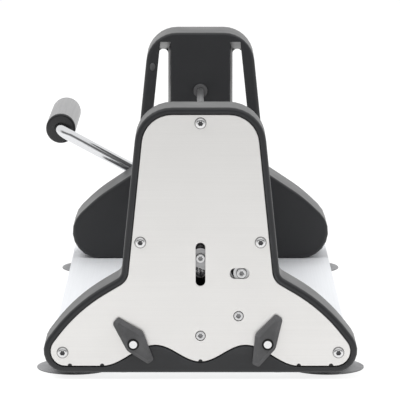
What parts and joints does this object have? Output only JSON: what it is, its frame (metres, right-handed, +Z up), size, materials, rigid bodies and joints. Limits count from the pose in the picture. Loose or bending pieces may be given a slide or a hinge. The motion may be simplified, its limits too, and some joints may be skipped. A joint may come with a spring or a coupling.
{
  "type": "mandoline slicer",
  "caption": "Bench mandoline slicer: two upright end frames on a steel base plate, crank-set ramp, blade, sliding pusher and suction feet.",
  "frame": {"origin": "on the table plane, midway between the left and right suction feet, 225 mm behind the front frame's face", "axes": "+X to the right seen from the front plate, +Y from the front frame to the crank, +Z up"},
  "size_m": [0.2314, 0.615, 0.182],
  "materials": {
    "black_polymer": "satin, fine grain",
    "black_gloss": "semi-gloss",
    "brushed_steel": "fine brushed",
    "polished_steel": "polished",
    "crank_chrome": "bright chrome",
    "grip_aluminium": "satin anodised",
    "rail_aluminium": "anodised",
    "gear_steel": "machined, oiled",
    "bush_bronze": "sintered",
    "lever_grey": "satin",
    "grey_rubber": "matte"
  },
  "bodies": {
    "stand": {"base_plate": "brushed_steel", "suction_feet": "grey_rubber", "foot_studs": "brushed_steel", "base_screws": "polished_steel", "front_frame": "black_polymer", "front_plate": "brushed_steel", "front_plate_screws": "polished_steel", "rear_frame": "black_polymer", "rear_cover": "black_polymer", "rear_cover_screws": "polished_steel", "leg_stop": "lever_grey", "tie_rods": "polished_steel", "guide_rod": "polished_steel", "guide_bushes": "lever_grey", "bed_rails": "rail_aluminium", "landing_plate": "brushed_steel", "blade": "polished_steel", "blade_screws": "polished_steel", "rack_guide": "black_polymer", "guide_posts": "polished_steel", "shaft_bushes": "bush_bronze", "bearing_block": "black_polymer", "block_screw": "polished_steel", "rocker_screw": "polished_steel"},
    "crank": {"drive_shaft": "polished_steel", "pinion": "gear_steel", "lever_hub": "crank_chrome", "hub_screw": "polished_steel", "lever_rod": "crank_chrome", "grip_retainer": "polished_steel"},
    "grip": {"lever_grip": "grip_aluminium", "grip_front_cap": "black_gloss", "grip_end_cap": "black_gloss"},
    "ramp_lift": {"ramp": "brushed_steel", "lift_rack": "gear_steel", "post_bushes": "bush_bronze", "lift_pin": "polished_steel"},
    "link": {"link_bar": "brushed_steel"},
    "rocker": {"rocker_bar": "brushed_steel", "joint_pin": "polished_steel"},
    "wing_left": {"wing_lever_left": "lever_grey"},
    "wing_right": {"wing_lever_right": "lever_grey"},
    "carriage": {"carriage": "black_polymer", "carriage_bushes": "bush_bronze"},
    "press": {"press_plate": "black_polymer", "press_stems": "polished_steel", "press_handle": "black_gloss"}
  },
  "joints": [
    {"name": "crank_swing", "type": "hinge", "parent": "stand", "child": "crank", "pos_m": [0, 0.263, 0.0375], "axis": [0, 1, 0], "range_deg": [-36, 84]},
    {"name": "grip_spin", "type": "hinge", "parent": "crank", "child": "grip", "pos_m": [-0.11198, 0.3, 0.09805], "axis": [0, 1, 0], "continuous": true},
    {"name": "ramp_travel", "type": "slide", "parent": "stand", "child": "ramp_lift", "axis": [0, 0, 1], "range_m": [-0.01467, 0.00629]},
    {"name": "link_swing", "type": "hinge", "parent": "ramp_lift", "child": "link", "pos_m": [0, -0.221, 0.0793], "axis": [0, 1, 0], "range_deg": [-29.4, 12.6]},
    {"name": "rocker_swing", "type": "hinge", "parent": "stand", "child": "rocker", "pos_m": [0.0245, -0.218, 0.0418], "axis": [0, 1, 0], "range_deg": [-1.4, 3.3]},
    {"name": "wing_left_turn", "type": "hinge", "parent": "stand", "child": "wing_left", "pos_m": [-0.0432, -0.228, 0.0244], "axis": [0, 1, 0], "range_deg": [0, 90]},
    {"name": "wing_right_turn", "type": "hinge", "parent": "stand", "child": "wing_right", "pos_m": [0.0432, -0.228, 0.0244], "axis": [0, 1, 0], "range_deg": [-90, 0]},
    {"name": "carriage_slide", "type": "slide", "parent": "stand", "child": "carriage", "axis": [0, 1, 0], "range_m": [-0.055, 0.26]},
    {"name": "press_slide", "type": "slide", "parent": "carriage", "child": "press", "axis": [0, 0, 1], "range_m": [0, 0.018]}
  ],
  "couplings": [
    {"joint": "ramp_travel", "follows": "crank_swing", "m_per_rad": -0.01},
    {"joint": "link_swing", "follows": "crank_swing", "ratio": -0.34907},
    {"joint": "rocker_swing", "follows": "crank_swing", "ratio": 0.0384}
  ]
}
